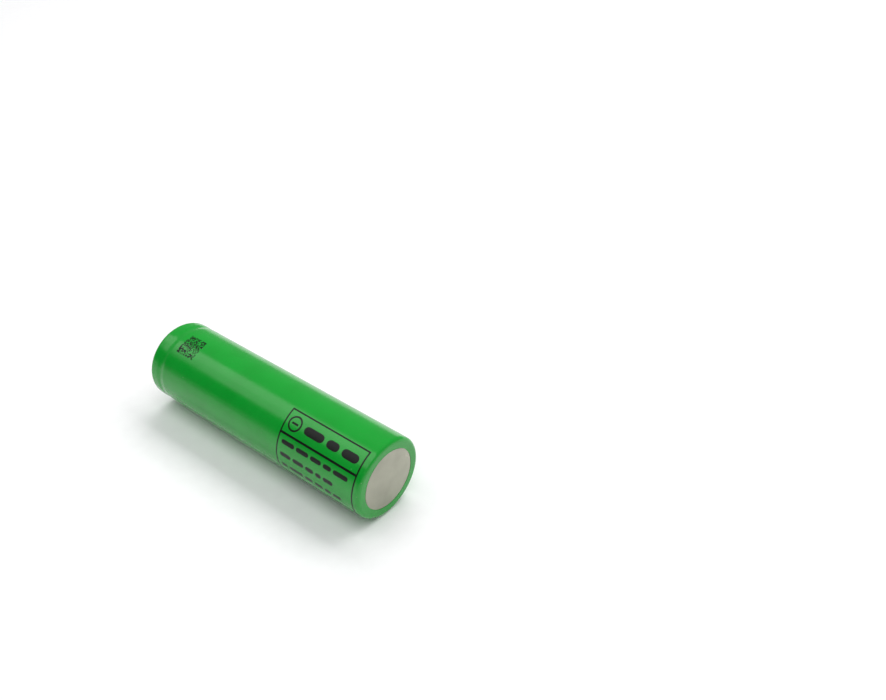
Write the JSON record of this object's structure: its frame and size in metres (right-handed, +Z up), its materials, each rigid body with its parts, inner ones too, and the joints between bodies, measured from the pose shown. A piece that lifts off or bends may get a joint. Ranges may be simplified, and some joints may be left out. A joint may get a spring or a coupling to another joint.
{
  "type": "cylindrical battery cell",
  "caption": "Cylindrical rechargeable battery cell in a plain shrink sleeve, lying on its side, with a flat metal terminal at each end.",
  "frame": {"origin": "on the floor under the middle of the cell, which lies on its side", "axes": "+X along the cell's axis towards the negative end, +Z up, +Y to the side; the positive end is at -X"},
  "size_m": [0.0652, 0.0184, 0.0184],
  "materials": {
    "sleeve_film": "semi-gloss heat-shrink film",
    "can_steel": "nickel-plated, satin",
    "washer_board": "matte",
    "cap_steel": "nickel-plated, satin",
    "ptc_polymer": "matte",
    "header_aluminium": "satin",
    "header_plastic": "matte",
    "insulator_board": "matte",
    "aluminium_foil": "satin",
    "oxide_coating": "matte",
    "separator_film": "matte",
    "copper_foil": "satin",
    "graphite_coating": "matte",
    "pin_steel": "satin",
    "insulating_tape": "matte",
    "tab_nickel": "satin"
  },
  "bodies": {
    "cell": {"sleeve": "sleeve_film", "steel_can": "can_steel", "top_washer": "washer_board", "positive_cap": "cap_steel", "ptc_ring": "ptc_polymer", "burst_disc": "header_aluminium", "interrupter_insulator": "header_plastic", "weld_plate": "header_aluminium", "gasket": "header_plastic", "upper_insulator": "insulator_board", "lower_insulator": "insulator_board", "cathode_foil": "aluminium_foil", "cathode_coating": "oxide_coating", "separator_inner": "separator_film", "separator_outer": "separator_film", "anode_foil": "copper_foil", "anode_coating": "graphite_coating", "centre_pin": "pin_steel", "closing_tape": "insulating_tape", "cathode_tab": "aluminium_foil", "cathode_tab_tape": "insulating_tape", "anode_tab": "tab_nickel", "anode_tab_tape": "insulating_tape"},
    "interrupter_centre": {"weld_button": "header_aluminium"}
  },
  "joints": [
    {"name": "interrupter_snap", "type": "slide", "parent": "cell", "child": "interrupter_centre", "axis": [-1, 0, 0], "range_m": [0, 0.0006], "deforming": ["burst_disc"]}
  ]
}
